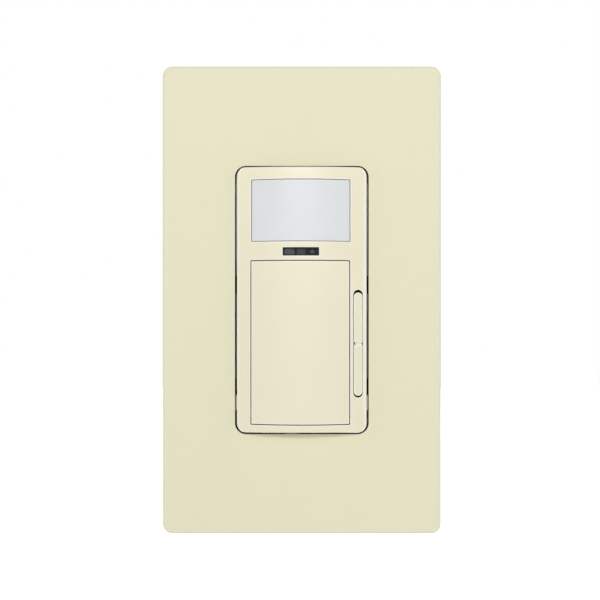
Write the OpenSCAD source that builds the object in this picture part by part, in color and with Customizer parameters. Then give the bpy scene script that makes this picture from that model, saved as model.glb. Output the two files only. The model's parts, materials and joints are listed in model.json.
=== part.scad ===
// Wall-box dimmer with a motion sensor and a screwless wall plate.
// Millimetres. X points right, Z up, and the front faces -Y. The wall's surface is the plane y = 0, and the
// origin lies on it, midway between the two device screws.

/* [Wall plate] */
// Width of the wall plate
plate_w = 69.9; // [69:0.1:72]
// Height of the wall plate
plate_h = 117.4; // [116:0.1:120]
// How far the plate's front stands off the wall
plate_t = 6.6; // [6.4:0.1:7.2]
// Thickness of the plate's front and rim
plate_wall = 1.6; // [1.3:0.1:1.8]
// Radius of the plate's corners
plate_corner_r = 2.4; // [2:0.1:4]
// Rounding of the plate's front edge
plate_edge_r = 0.6; // [0.3:0.1:0.9]

/* [Face frame] */
// Width of the face frame
face_w = 32.9; // [32.8:0.1:33]
// Height of the face frame
face_h = 66.6; // [66.4:0.1:66.8]
// Radius of the face frame's corners
face_corner_r = 2.4; // [1.8:0.1:3]
// Gap between the face frame and the plate's opening
opening_gap = 0.3; // [0.2:0.05:0.4]
// How far the middle of the face stands in front of the plate
face_proud = 4.7; // [4.6:0.1:4.8]
// Radius of the face's bow about a vertical axis
bow_r = 42; // [41.5:0.5:42.5]
// Thickness of the face
face_t = 1.6; // [1.4:0.1:1.7]
// Thickness of the face frame's side walls
face_wall = 1.1; // [1:0.05:1.1]

/* [Sensor lens and window] */
// Width of the lens
lens_w = 24.8; // [24:0.1:25]
// Height of the lens
lens_h = 15.4; // [15:0.1:15.5]
// Width of the smoked window
window_w = 9; // [8.5:0.1:9.4]
// Height of the smoked window
window_h = 2.05; // [1.9:0.05:2.2]

/* [Paddle and dimmer bar] */
// Width of the opening that the paddle fills
paddle_w = 25.1; // [24.8:0.1:25.1]
// Height of the opening that the paddle fills
paddle_h = 41; // [40.8:0.1:41.1]
// Gap round the paddle
paddle_gap = 0.2; // [0.15:0.05:0.3]
// How far the paddle stands in front of the face
paddle_proud = 0.15; // [0.05:0.05:0.3]
// Width of the slot that the dimmer bar sits in
slot_w = 2.5; // [2.4:0.05:2.55]
// Length of the slot that the dimmer bar sits in
slot_h = 26.8; // [26:0.1:27]
// How far the dimmer bar stands in front of the face
bar_proud = 0.3; // [0.2:0.05:0.4]

/* [Strap and housing] */
// Thickness of the mounting strap
strap_t = 1.5; // [1.5:0.1:1.5]
// Length of the mounting strap
strap_h = 104.8; // [104.5:0.1:105.5]
// Distance between the two device screws
device_screw_spacing = 83.3; // [83.3:0.1:83.3]
// Distance between the two plate screws
plate_screw_spacing = 96.8; // [96.8:0.1:96.8]
// Radius of the device screws' thread
device_screw_r = 1.75; // [1.7:0.05:1.75]
// Length of the device screws behind the wall plane
device_screw_l = 20; // [15:1:26]
// Width of the rear housing
housing_w = 43.6; // [43.4:0.1:44]
// Height of the rear housing
housing_h = 66.8; // [66.6:0.1:67]
// Depth of the rear housing behind the wall plane
housing_d = 30; // [29:0.5:34]
// Wall of the rear housing
housing_wall = 1.6; // [1.4:0.1:1.6]
// Radius of the wire entries
wire_r = 1.15; // [1.05:0.05:1.15]
// How far the air-gap service tab slides
service_travel = 3; // [2.5:0.1:3]

/* [Hidden] */
$fn = 64;
eps = 0.01;

// Front planes
plate_y = -plate_t;
face_y = -(plate_t + face_proud);
bow_y = face_y + bow_r;
strap_y = -strap_t;

// Centres of the openings in the face
lens_x = -0.25;
lens_z = 22.1;
window_x = -0.23;
window_z = 11.9;
paddle_x = -0.38;
paddle_z = -10.6;
bar_x = 14;
bar_z = -10.9;

// Cut depths of the openings and the rib between the paddle and the bar
opening_back_y = -6.55;
rib_back_y = -6.3;
rib_x0 = paddle_x + paddle_w/2;
rib_x1 = bar_x - slot_w/2;

// Paddle: hinge pins, skirt and the nub that presses its switch
paddle_pin_r = 0.8;
paddle_pin_gap = 0.05;
paddle_pin_y = -6;
paddle_pin_z = 8.2;
paddle_body_w = paddle_w - 2*paddle_gap;
paddle_body_h = paddle_h - 2*paddle_gap;
paddle_t = 1.5;
paddle_skirt_t = 1;
paddle_skirt_y = -7.4;
paddle_switch_z = -8.4;

// Dimmer bar: pivot pin, body and the two nubs
bar_pin_r = 0.6;
bar_pin_gap = 0.05;
bar_pin_y = -5.2;
bar_side_gap = 0.15;
bar_end_gap = 0.3;
bar_w = slot_w - 2*bar_side_gap;
bar_h = slot_h - 2*bar_end_gap;
bar_back_y = -6.9;
bar_nub_x = 13.6;
bar_nub_reach = 7;
bar_nub_y = -6.3;
bar_waist_r = 0.45;

// Front circuit board and the tray behind it
board_y0 = -3.4;
board_y1 = -2.4;
board_x = 15;
board_z0 = -30.2;
board_z1 = 13.95;
tray_x = 15.2;

// Small push switches: a large one under the paddle, two small ones under the bar
nub_clearance = 0.05;
big_switch_w = 6;
big_switch_y = -6.9;
big_plunger_r = 1.7;
small_switch_w = 2.6;
small_switch_h = 3.6;
small_switch_y = -5.6;
small_plunger_r = 0.65;
plunger_gap = 0.08;
cover_t = 0.15;

// Lights and light sensor behind the smoked window
holder_y = -8.4;
lamp_t = 0.35;

// Motion sensor behind the lens
shroud_x = 12.2;
shroud_z = 7.7;
shroud_y0 = -6.2;
shroud_y1 = 4.5;
shroud_wall = 0.8;
sensor_board_y = 4.6;
sensor_can_r = 4.1;
sensor_flange_r = 4.6;

// Strap
ear_w = 20;
ground_x = -14.5;
ground_z = -37.2;
case_screw_x = 18.4;
case_screw_z = 30.2;
case_screw_r = 1.3;
header_z = -26.2;
header_pins_n = 5;
header_pitch = 2.54;
snap_z = [-22.5, 4];

// Power board
power_y0 = 7.4;
power_y1 = 9;
power_x = 19.9;
power_z = 31.5;
transistor_x = [-7.6, 7.6];
transistor_z0 = -20;
rivet_z = -7.2;
rivet_r = 1.5;

// Terminals: x of each layer from the middle of the housing, mirrored for the other side
terminal_z = 12;
pocket_x = 14.8;
pocket_half_z = 4.4;
pocket_y0 = 10.8;
pocket_y1 = 21.2;
pocket_wall = 1.4;
plate_layer = 1;
clamp_x = 18.2;
wire_x = 17;
wire_z_offset = 3.1;
terminal_screw_r = 1.75;
terminal_mid_y = (pocket_y0 + pocket_y1)/2;

// Air-gap service switch
service_x = -7;
service_w = 5.6;
service_stem_w = 3;
service_bridge_y = 6;
service_gap = 0.25;
service_x0 = service_x - service_w/2;
service_x1 = service_x + service_w/2;

ivory = [0.90, 0.88, 0.76];
face_ivory = [0.94, 0.92, 0.84];
lens_white = [0.90, 0.90, 0.91];
smoke = [0.20, 0.19, 0.17];
board_green = [0.10, 0.36, 0.20];
black = [0.08, 0.08, 0.09];
steel = [0.70, 0.70, 0.72];
brass = [0.80, 0.64, 0.30];

// ---- Shapes that repeat ----

// A rounded rectangle about the origin
module round_rect(w, h, r) {
    square([w - 2*r, h], center = true);
    square([w, h - 2*r], center = true);
    for (sx = [-1, 1], sz = [-1, 1])
        translate([sx*(w/2 - r), sz*(h/2 - r)]) circle(r);
}

// Gives an outline in X and Z its depth, from y0 back to y1
module stand(y0, y1) {
    translate([0, y1, 0]) rotate([90, 0, 0]) linear_extrude(y1 - y0) children();
}

module slab(w, h, r, y0, y1, x = 0, z = 0) {
    translate([x, 0, z]) stand(y0, y1) round_rect(w, h, r);
}

module block(x0, x1, y0, y1, z0, z1) {
    translate([x0, y0, z0]) cube([x1 - x0, y1 - y0, z1 - z0]);
}

module rod_x(r, x0, x1, y, z) {
    translate([x0, y, z]) rotate([0, 90, 0]) cylinder(r = r, h = x1 - x0);
}

// A rod along Y, or a cone when the back radius differs
module rod_y(r, y0, y1, x = 0, z = 0, r_back = -1) {
    translate([x, y0, z]) rotate([-90, 0, 0])
        cylinder(r1 = r, r2 = r_back < 0 ? r : r_back, h = y1 - y0);
}

module rod_z(r, z0, z1, x, y) {
    translate([x, y, z0]) cylinder(r = r, h = z1 - z0);
}

// Everything behind the face's bowed front, sunk by depth
module bowed(depth) {
    translate([0, bow_y, -plate_h]) cylinder(r = bow_r - depth, h = 2*plate_h, $fn = 720);
}

// Half of a slab's section with its outer front edge rounded: x outwards, y forwards
module edge_section(half, t, e) {
    square([half, t - e]);
    square([half - e, t]);
    translate([half - e, t - e]) intersection() {
        circle(e);
        square([e, e]);
    }
}

module edge_section_pair(half, t, e) {
    edge_section(half, t, e);
    mirror([1, 0]) edge_section(half, t, e);
}

// A slab with rounded corners and a rounded front edge, its back on y = 0 and its front on y = -t
module soft_slab(w, h, r, e, t) {
    translate([0, 0, -(h/2 - r)]) linear_extrude(h - 2*r) mirror([0, 1]) edge_section_pair(w/2, t, e);
    rotate([0, -90, 0]) translate([0, 0, -(w/2 - r)])
        linear_extrude(w - 2*r) mirror([0, 1]) edge_section_pair(h/2, t, e);
    for (sx = [-1, 1], sz = [-1, 1])
        translate([sx*(w/2 - r), 0, sz*(h/2 - r)])
            rotate([90, 0, 0]) rotate_extrude() edge_section(r, t, e);
}

module at_terminals() {
    for (sx = [-1, 1], sz = [-1, 1])
        translate([0, 0, sz*terminal_z]) scale_x(sx) children();
}

// The right-hand piece as drawn, or its mirror image on the left
module scale_x(sx) {
    if (sx > 0) children();
    else mirror([1, 0, 0]) children();
}

// ---- Wall plate ----

opening_w = face_w + 2*opening_gap;
opening_h = face_h + 2*opening_gap;

module plate_cover() {
    lip = 1.2;
    lip_y = plate_y + plate_wall + 1.1;
    color(ivory) {
        difference() {
            union() {
                difference() {
                    soft_slab(plate_w, plate_h, plate_corner_r, plate_edge_r, plate_t);
                    slab(plate_w - 2*plate_wall, plate_h - 2*plate_wall, plate_corner_r - plate_wall,
                         plate_y + plate_wall, 1);
                }
                slab(opening_w + 2*lip, opening_h + 2*lip, face_corner_r + opening_gap + lip,
                     plate_y + plate_wall/2, lip_y);
            }
            slab(opening_w, opening_h, face_corner_r + opening_gap, plate_y - 1, 1);
        }
        // ridges that snap in behind the inner plate
        for (sx = [-1, 1], sz = [-1, 1])
            scale_x(sx) block(subframe_w/2 - 0.55, plate_w/2 - plate_wall/2, -1.6, -0.9, sz*30 - 5, sz*30 + 5);
    }
}

subframe_w = 66;
subframe_h = 113.5;
subframe_y0 = -3.4;
subframe_y1 = -1.8;

module plate_subframe() {
    rim = 1.4;
    color(ivory) difference() {
        union() {
            slab(subframe_w, subframe_h, 2, subframe_y0, subframe_y1);
            difference() {
                slab(subframe_w, subframe_h, 2, subframe_y1 - eps, 0);
                slab(subframe_w - 2*rim, subframe_h - 2*rim, 0.6, subframe_y1 - 1, 1);
                for (sx = [-1, 1], sz = [-1, 1])
                    scale_x(sx) block(subframe_w/2 - 1.6, subframe_w, subframe_y1, 1, sz*30 - 6, sz*30 + 6);
            }
            // stiffening ribs
            for (sx = [-1, 1]) scale_x(sx) {
                block(25.5, 26.4, subframe_y1 - eps, -0.6, -52, 52);
                for (sz = [-1, 1]) block(11.5, 31, subframe_y1 - eps, -0.6, sz*45 - 0.45, sz*45 + 0.45);
            }
            // bosses that stand on the strap's ears
            for (sz = [-1, 1]) rod_y(4.2, subframe_y1 - eps, strap_y, 0, sz*plate_screw_spacing/2);
        }
        slab(opening_w + 3.2, opening_h + 3.2, face_corner_r + 1.6, subframe_y0 - 1, 1);
        for (sz = [-1, 1]) {
            rod_y(4.3, subframe_y0 - 1, 1, 0, sz*device_screw_spacing/2);
            rod_y(1.8, subframe_y0 - 1, 1, 0, sz*plate_screw_spacing/2);
            rod_y(3.1, subframe_y0 - eps, subframe_y0 + 1.3, 0, sz*plate_screw_spacing/2, 1.8);
        }
    }
}

module plate_screws() {
    slot_depth = 0.6;
    color(ivory) for (sz = [-1, 1]) translate([0, 0, sz*plate_screw_spacing/2]) difference() {
        union() {
            rod_y(3, subframe_y0 + 0.05, subframe_y0 + 1.3, 0, 0, 1.6);
            rod_y(1.6, subframe_y0 + 1.2, 1.2);
        }
        block(-4, 4, subframe_y0 - 1, subframe_y0 + slot_depth, -0.4, 0.4);
    }
}

// ---- Face ----

module paddle_lug(x0, x1) {
    intersection() {
        union() {
            block(x0, x1, face_y, paddle_pin_y, paddle_pin_z - 1.7, paddle_pin_z + 1.6);
            rod_x(1.6, x0, x1, paddle_pin_y, paddle_pin_z);
        }
        bowed(face_t/2);
    }
}

module snap_leg(z) {
    half = 2;
    block(face_w/2 - face_wall, face_w/2, strap_y - eps, 1.9, z - half, z + half);
    block(face_w/2 - face_wall, face_w/2 + 0.45, 0.1, 1.5, z - half, z + half);
}

module face_frame() {
    pry_depth = 0.35;
    color(face_ivory) difference() {
        union() {
            difference() {
                intersection() {
                    slab(face_w, face_h, face_corner_r, face_y - 1, strap_y);
                    bowed(0);
                }
                intersection() {
                    slab(face_w - 2*face_wall, face_h - 2*face_wall, face_corner_r - face_wall,
                         face_y - 1, 1);
                    bowed(face_t);
                }
                slab(lens_w, lens_h, 0.6, face_y - 1, opening_back_y, lens_x, lens_z);
                slab(window_w, window_h, 0.15, face_y - 1, opening_back_y, window_x, window_z);
                slab(paddle_w, paddle_h, 0.5, face_y - 1, opening_back_y, paddle_x, paddle_z);
                slab(slot_w, slot_h, slot_w/2 - eps, face_y - 1, opening_back_y, bar_x, bar_z);
            }
            // rib between the paddle and the bar
            intersection() {
                block(rib_x0, rib_x1, face_y - 1, rib_back_y, bar_z - slot_h/2, bar_z + slot_h/2);
                bowed(face_t/2);
            }
            // lugs that carry the paddle's pins
            paddle_lug(-14.6, -13.1);
            paddle_lug(12.35, 13.85);
            // lug that carries the bar's pin
            block(11.3, rib_x1, rib_back_y - 0.2, bar_pin_y, bar_z - 1.4, bar_z + 1.4);
            rod_x(1.4, 11.3, rib_x1, bar_pin_y, bar_z);
            // ribs that centre the frame in the plate's opening
            for (sx = [-1, 1]) scale_x(sx)
                block(face_w/2 - 0.2, face_w/2 + opening_gap - 0.1, -6.3, -2, snap_z[0] - 5.2, snap_z[0] - 1.1);
            // legs that snap through the strap
            for (sx = [-1, 1], z = snap_z) scale_x(sx) snap_leg(z);
        }
        rod_x(paddle_pin_r + paddle_pin_gap, -16, 15, paddle_pin_y, paddle_pin_z);
        rod_x(bar_pin_r + eps, 11, 16.05, bar_pin_y, bar_z);
        // pry notches in the side walls
        for (sx = [-1, 1])
            scale_x(sx) block(face_w/2 - pry_depth, face_w, -7.6, -5.4, snap_z[0] - 1.1, snap_z[0] + 1.1);
        // track of the service tab in the lower wall
        block(service_x0 - service_gap, service_x1 + service_travel + service_gap, -7.8, 0,
              -face_h/2 - 1, -face_h/2 + 0.75);
        block(service_x0 - service_gap, service_x1 + service_travel + service_gap, -3.4, 0,
              -face_h/2 - 1, -face_h/2 + face_wall + 0.1);
    }
}

module sensor_lens() {
    side_gap = 0.1;
    flange = 0.8;
    w = lens_w - 2*side_gap;
    h = lens_h - 2*side_gap;
    front = 0.1;
    color(lens_white) translate([lens_x, 0, lens_z]) difference() {
        union() {
            intersection() {
                slab(w, h, 0.5, face_y - 1, -5);
                translate([-lens_x, 0, 0]) bowed(front);
            }
            intersection() {
                slab(w + 2*flange, h + 2*flange, 0.5, face_y - 1, -5);
                translate([-lens_x, 0, 0]) bowed(face_t + 0.05);
            }
        }
        translate([-lens_x, 0, 0]) bowed(face_t + 0.7);
        intersection() {
            slab(w - 1.6, h - 1.6, 0.3, face_y - 1, 0);
            translate([-lens_x, 0, 0]) bowed(front + 0.7);
        }
    }
}

module status_window() {
    side_gap = 0.05;
    back_y = holder_y - lamp_t - 0.05;
    color(smoke) translate([window_x, 0, window_z]) {
        intersection() {
            slab(window_w - 2*side_gap, window_h - 2*side_gap, 0.12, face_y - 1, back_y);
            translate([-window_x, 0, 0]) bowed(0.12);
        }
        for (sx = [-1, 1])
            scale_x(sx) block(window_w/2 - side_gap - eps, 5.7, back_y - 0.4, back_y, -0.9, 0.9);
    }
}

module paddle_ear() {
    // one side: an ear on the skirt, with its pin
    x0 = paddle_body_w/2 - 1.3;
    x1 = paddle_body_w/2;
    block(x0, x1, -8.2, paddle_pin_y, paddle_pin_z - paddle_z - 1.3, paddle_pin_z - paddle_z + 1.3);
    rod_x(1.3, x0, x1, paddle_pin_y, paddle_pin_z - paddle_z);
    rod_x(paddle_pin_r, x1 - 0.1, x1 + 1.65, paddle_pin_y, paddle_pin_z - paddle_z);
}

module paddle() {
    inner_w = paddle_body_w - 2*paddle_skirt_t;
    inner_h = paddle_body_h - 2*paddle_skirt_t;
    nub_y = plunger_top(big_switch_y, 0.8) - nub_clearance;
    color(face_ivory) translate([paddle_x, 0, paddle_z]) {
        difference() {
            intersection() {
                slab(paddle_body_w, paddle_body_h, 0.4, face_y - 1, paddle_skirt_y);
                translate([-paddle_x, 0, 0]) bowed(-paddle_proud);
            }
            intersection() {
                slab(inner_w, inner_h, 0.3, face_y - 1, 0);
                translate([-paddle_x, 0, 0]) bowed(paddle_t - paddle_proud);
            }
        }
        for (sx = [-1, 1]) scale_x(sx) paddle_ear();
        // stiffening ribs across the back, and the nub that presses the switch
        intersection() {
            union() {
                for (z = [-13, -6, 9])
                    block(-inner_w/2 - eps, inner_w/2 + eps, face_y, -7.9, z - 0.4, z + 0.4);
                rod_y(1.6, face_y, nub_y, 0, paddle_switch_z - paddle_z);
            }
            translate([-paddle_x, 0, 0]) bowed(paddle_t/2 - paddle_proud);
        }
    }
}

module dimmer_bar() {
    stem_x0 = bar_nub_x - 0.6;
    stem_x1 = 14.95;
    groove = 0.35;
    front_y = bow_y - sqrt(pow(bow_r + bar_proud, 2) - pow(bar_x, 2));
    color(face_ivory) difference() {
        union() {
            intersection() {
                slab(bar_w, bar_h, bar_w/2 - eps, face_y - 1, bar_back_y, bar_x, bar_z);
                bowed(-bar_proud);
            }
            block(stem_x0, stem_x1, bar_back_y - 0.2, bar_pin_y, bar_z - 1.2, bar_z + 1.2);
            rod_x(1.2, stem_x0, stem_x1, bar_pin_y, bar_z);
            for (sz = [-1, 1])
                rod_y(0.6, bar_back_y - 0.2, bar_nub_y, bar_nub_x, bar_z + sz*bar_nub_reach);
        }
        rod_x(bar_pin_r + bar_pin_gap, stem_x0 - 1, stem_x1 + 1, bar_pin_y, bar_z);
        // waist: a notch from each side and a groove across the front
        for (sx = [-1, 1]) rod_y(bar_waist_r, face_y - 1, -8, bar_x + sx*bar_w/2, bar_z);
        rod_x(groove, 0, 30, front_y - 0.22, bar_z);
    }
}

module bar_pin() {
    color(steel) rod_x(bar_pin_r, 11.5, 16, bar_pin_y, bar_z);
}

// ---- Front board ----

module indicator_holder() {
    color(black) block(window_x - 5, window_x + 5, holder_y, board_y0,
                       window_z - 1.2, window_z + 1.5);
}

module status_leds() {
    color("white") for (x = [-3.1, 3.1])
        block(window_x + x - 0.8, window_x + x + 0.8, holder_y - lamp_t, holder_y,
              window_z - 0.4, window_z + 0.4);
}

module photocell() {
    color([0.35, 0.3, 0.25]) difference() {
        block(window_x - 1.1, window_x + 1.1, holder_y - lamp_t, holder_y, window_z - 0.75, window_z + 0.75);
        block(window_x - 0.8, window_x + 0.8, holder_y - 1, holder_y - 0.25, window_z - 0.5, window_z + 0.5);
    }
}

board_posts = [[-13, -28.6], [9, -28.6], [-13, 12.2], [9.6, 12.2]];

module header_holes(r_square) {
    for (i = [0 : header_pins_n - 1])
        translate([(i - (header_pins_n - 1)/2)*header_pitch, 0, header_z])
            block(-r_square, r_square, -12, 12, -r_square, r_square);
}

module control_board() {
    color(board_green) difference() {
        block(-board_x, board_x, board_y0, board_y1, board_z0, board_z1);
        for (p = board_posts) rod_y(1.05, -5, 0, p[0], p[1]);
        header_holes(0.34);
    }
}

module control_chip() {
    color(black) block(-10.5, -3.5, board_y0 - 1.1, board_y0, -23.5, -16.5);
}

module board_parts() {
    color([0.45, 0.42, 0.38]) {
        for (i = [0 : 5]) block(2 + 1.6*i, 2.8 + 1.6*i, board_y0 - 0.5, board_y0, -22, -20.4);
        for (i = [0 : 5]) block(-11 + 1.8*i, -10.1 + 1.8*i, board_y0 - 0.5, board_y0, -1.5, 0.1);
        for (i = [0 : 3]) block(4 + 1.8*i, 5 + 1.8*i, board_y0 - 0.7, board_y0, 2.5, 4.4);
    }
}

function plunger_top(body_y, reach) = body_y - reach;

module switch_bodies() {
    color(black) {
        difference() {
            block(paddle_x - big_switch_w/2, paddle_x + big_switch_w/2, big_switch_y, board_y0,
                  paddle_switch_z - big_switch_w/2, paddle_switch_z + big_switch_w/2);
            rod_y(big_plunger_r + plunger_gap, big_switch_y - 1, -4.4, paddle_x, paddle_switch_z);
        }
        for (sz = [-1, 1]) translate([bar_nub_x, 0, bar_z + sz*bar_nub_reach]) difference() {
            block(-small_switch_w/2, small_switch_w/2, small_switch_y, board_y0,
                  -small_switch_h/2, small_switch_h/2);
            rod_y(small_plunger_r + plunger_gap, small_switch_y - 1, -4);
        }
    }
}

module switch_covers() {
    color(steel) {
        difference() {
            block(paddle_x - 2.9, paddle_x + 2.9, big_switch_y - cover_t, big_switch_y,
                  paddle_switch_z - 2.9, paddle_switch_z + 2.9);
            rod_y(big_plunger_r + 2*plunger_gap, -10, 0, paddle_x, paddle_switch_z);
        }
        for (sz = [-1, 1]) translate([bar_nub_x, 0, bar_z + sz*bar_nub_reach]) difference() {
            block(-1.2, 1.2, small_switch_y - cover_t, small_switch_y, -1.7, 1.7);
            rod_y(small_plunger_r + 2*plunger_gap, -10, 0);
        }
    }
}

module paddle_plunger() {
    color([0.15, 0.15, 0.16])
        rod_y(big_plunger_r, plunger_top(big_switch_y, 0.8), -5, paddle_x, paddle_switch_z);
}

module small_plunger(side) {
    color([0.75, 0.72, 0.65]) rod_y(small_plunger_r, bar_nub_y + nub_clearance, -4.6, bar_nub_x,
                                    bar_z + side*bar_nub_reach);
}

module raise_plunger() { small_plunger(1); }

module lower_plunger() { small_plunger(-1); }

module carrier_tray() {
    color([0.85, 0.84, 0.8]) {
        difference() {
            block(-tray_x, tray_x, board_y1, strap_y, -30.4, board_z1 - 0.2);
            block(-7, 7, -5, 0, header_z - 1.7, header_z + 1.7);
            for (x = transistor_x) rod_y(3, -5, 0, x, rivet_z);
        }
        for (p = board_posts) rod_y(1, board_y0 - 0.3, board_y1 + eps, p[0], p[1]);
    }
}

module header_block() {
    color(black) difference() {
        block(-6.5, 6.5, board_y1 + 0.05, power_y0 - 0.05, header_z - 1.25, header_z + 1.25);
        header_holes(0.34);
    }
}

module header_pins() {
    color(brass) for (i = [0 : header_pins_n - 1])
        translate([(i - (header_pins_n - 1)/2)*header_pitch, 0, header_z])
            block(-0.32, 0.32, board_y0 - 0.8, power_y1 + 0.9, -0.32, 0.32);
}

// ---- Motion sensor ----

module sensor_shroud() {
    taper_y = 0.6;
    color([0.12, 0.12, 0.13]) translate([lens_x, 0, lens_z]) difference() {
        slab(2*shroud_x, 2*shroud_z, 0.8, shroud_y0, shroud_y1);
        slab(2*(shroud_x - shroud_wall), 2*(shroud_z - shroud_wall), 0.4, shroud_y0 - 1, taper_y + 2.6);
        rod_y(sensor_flange_r + 0.1, 0, shroud_y1 + 1);
    }
}

sensor_pin_xz = [[-1.8, -1.8], [1.8, -1.8], [0, 2.5]];

module sensor_board() {
    color(board_green) translate([lens_x, 0, lens_z]) difference() {
        block(-11.5, 11.5, sensor_board_y, sensor_board_y + 0.9, -7.3, 7.3);
        for (p = sensor_pin_xz) rod_y(0.28, 4, 6, p[0], p[1]);
        for (x = [-2.54, 0, 2.54]) block(x - 0.34, x + 0.34, 4, 6, -6.34, -5.66);
    }
}

module motion_sensor() {
    color(steel) translate([lens_x, 0, lens_z]) {
        difference() {
            union() {
                rod_y(sensor_can_r, 0.9, 4);
                rod_y(sensor_flange_r, 4, sensor_board_y - 0.05);
            }
            block(-2.1, 2.1, 0, 1.15, -1.7, 1.7);
        }
        for (p = sensor_pin_xz) rod_y(0.23, sensor_board_y - 0.06, 6.3, p[0], p[1]);
    }
}

module sensor_filter() {
    color([0.1, 0.1, 0.12]) translate([lens_x, 0, lens_z]) block(-2.05, 2.05, 0.9, 1.14, -1.65, 1.65);
}

module sensor_pins() {
    color(brass) translate([lens_x, 0, lens_z]) for (x = [-2.54, 0, 2.54])
        block(x - 0.3, x + 0.3, 4.5, power_y1 + 0.7, -6.3, -5.7);
}

// ---- Strap ----

module mounting_strap() {
    slot_l = 6.8;
    slot_r = 2;
    color([0.78, 0.79, 0.8]) difference() {
        union() {
            slab(housing_w, housing_h, 2, strap_y, 0);
            slab(ear_w, strap_h, 4, strap_y, 0);
            slab(11.5, 10, 2, strap_y, 0, ground_x, ground_z + 1.4);
        }
        // openings for the motion sensor and the board connector
        slab(2*shroud_x + 0.6, 2*shroud_z + 0.6, 1, -5, 5, lens_x, lens_z);
        slab(14, 3.4, 0.6, -5, 5, 0, header_z);
        // slots for the snap legs
        for (sx = [-1, 1], z = snap_z) scale_x(sx) block(15.1, 17.1, -5, 5, z - 2.3, z + 2.3);
        // passage of the service tab
        block(service_x - service_stem_w/2 - 0.3, service_x + service_stem_w/2 + service_travel + 0.3,
              -5, 5, -31.9, -30.2);
        for (sz = [-1, 1]) {
            slab(slot_l, 2*slot_r, slot_r - eps, -5, 5, 0, sz*device_screw_spacing/2);
            rod_y(1.62, -5, 5, 0, sz*plate_screw_spacing/2);
        }
        for (sx = [-1, 1], sz = [-1, 1]) {
            rod_y(case_screw_r + 0.1, -5, 5, sx*case_screw_x, sz*case_screw_z);
            rod_y(2.6, strap_y - eps, strap_y + 1.2, sx*case_screw_x, sz*case_screw_z, case_screw_r + 0.1);
        }
        for (x = transistor_x) rod_y(rivet_r + eps, -5, 5, x, rivet_z);
        rod_y(1.77, -5, 5, ground_x, ground_z);
    }
}

module device_screws() {
    color(steel) for (sz = [-1, 1]) translate([0, 0, sz*device_screw_spacing/2]) difference() {
        union() {
            rod_y(2.6, strap_y - 2.1, strap_y - 1.2, 0, 0, 3.6);
            rod_y(3.6, strap_y - 1.2, strap_y);
            rod_y(1.4, strap_y - 0.1, eps);
            rod_y(device_screw_r, 0, device_screw_l);
            rod_y(device_screw_r, device_screw_l - eps, device_screw_l + 1, 0, 0, 0.9);
        }
        block(-4, 4, -6, strap_y - 1.2, -0.45, 0.45);
        block(-0.45, 0.45, -6, strap_y - 1.2, -4, 4);
    }
}

module ground_screw() {
    color([0.15, 0.45, 0.2]) translate([ground_x, 0, ground_z]) difference() {
        union() {
            rod_y(1.75, strap_y - 0.2, 1.2);
            rod_y(2.9, 1.1, 1.6);
            translate([0, 1.5, 0]) rotate([-90, 0, 0]) cylinder(r = 2.7, h = 1.7, $fn = 6);
        }
        block(-4, 4, 2.5, 5, -0.4, 0.4);
    }
}

module housing_screws() {
    color(steel) for (sx = [-1, 1], sz = [-1, 1]) translate([sx*case_screw_x, 0, sz*case_screw_z])
        difference() {
            union() {
                rod_y(2.5, strap_y + 0.04, strap_y + 1.2, 0, 0, case_screw_r);
                rod_y(case_screw_r, strap_y + 1.1, 7.5);
            }
            block(-4, 4, -4, strap_y + 0.6, -0.3, 0.3);
            block(-0.3, 0.3, -4, strap_y + 0.6, -4, 4);
        }
}

// ---- Air-gap service switch ----

module service_tab() {
    grip_pitch = 0.9;
    color(face_ivory) {
        difference() {
            block(service_x0, service_x1, -7.5, strap_y - 0.3, -face_h/2 + 0.05, -face_h/2 + 0.5);
            // grip grooves across the lip
            for (i = [-2 : 2]) translate([service_x + i*grip_pitch, -8, -face_h/2]) rotate([-90, 0, 0])
                cylinder(r = 0.2, h = 2);
        }
        block(service_x0, service_x1, -3.1, strap_y - 0.3, -face_h/2 + 0.05, -30.6);
        block(service_x - service_stem_w/2, service_x + service_stem_w/2, strap_y - 0.4,
              service_bridge_y, -31.6, -30.6);
    }
}

module service_bridge() {
    color(brass) block(service_x - 4, service_x + 4, service_bridge_y, service_bridge_y + 0.8, -31.6, -29.6);
}

module service_contacts() {
    color(brass) for (sx = [-1, 1])
        translate([service_x + sx*3.2, 0, 0])
            block(-0.8, 0.8, service_bridge_y + 0.85, power_y0, -31.4, -29.8);
}

// ---- Power board ----

module power_board() {
    color(board_green) difference() {
        block(-power_x, power_x, power_y0, power_y1, -power_z, power_z);
        for (sx = [-1, 1], sz = [-1, 1]) rod_y(3.4, 0, 12, sx*case_screw_x, sz*case_screw_z);
        for (sx = [-1, 1], sz = [-1, 1])
            block(sx*20 - 2.4, sx*20 + 2.4, 0, 12, sz*33 - 3, sz*33 + 3);
        header_holes(0.34);
        for (x = transistor_x, i = [-1, 0, 1]) transistor_lead_hole(x + 2.54*i);
        for (x = [-2.54, 0, 2.54])
            translate([lens_x + x, 0, lens_z - 6]) block(-0.34, 0.34, 0, 12, -0.34, 0.34);
        at_terminals() block(pocket_x - 0.05, pocket_x + 0.85, 0, 12, -1.05, 1.05);
    }
}

module transistor_lead_hole(x) {
    block(x - 0.45, x + 0.45, 0, 12, -23.1, -22.3);
}

module transistor_pads() {
    color([0.6, 0.62, 0.6]) for (x = transistor_x) difference() {
        block(x - 5.6, x + 5.6, 0, 0.25, transistor_z0 - 0.6, transistor_z0 + 16.6);
        rod_y(rivet_r + eps, -1, 1, x, rivet_z);
    }
}

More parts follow.
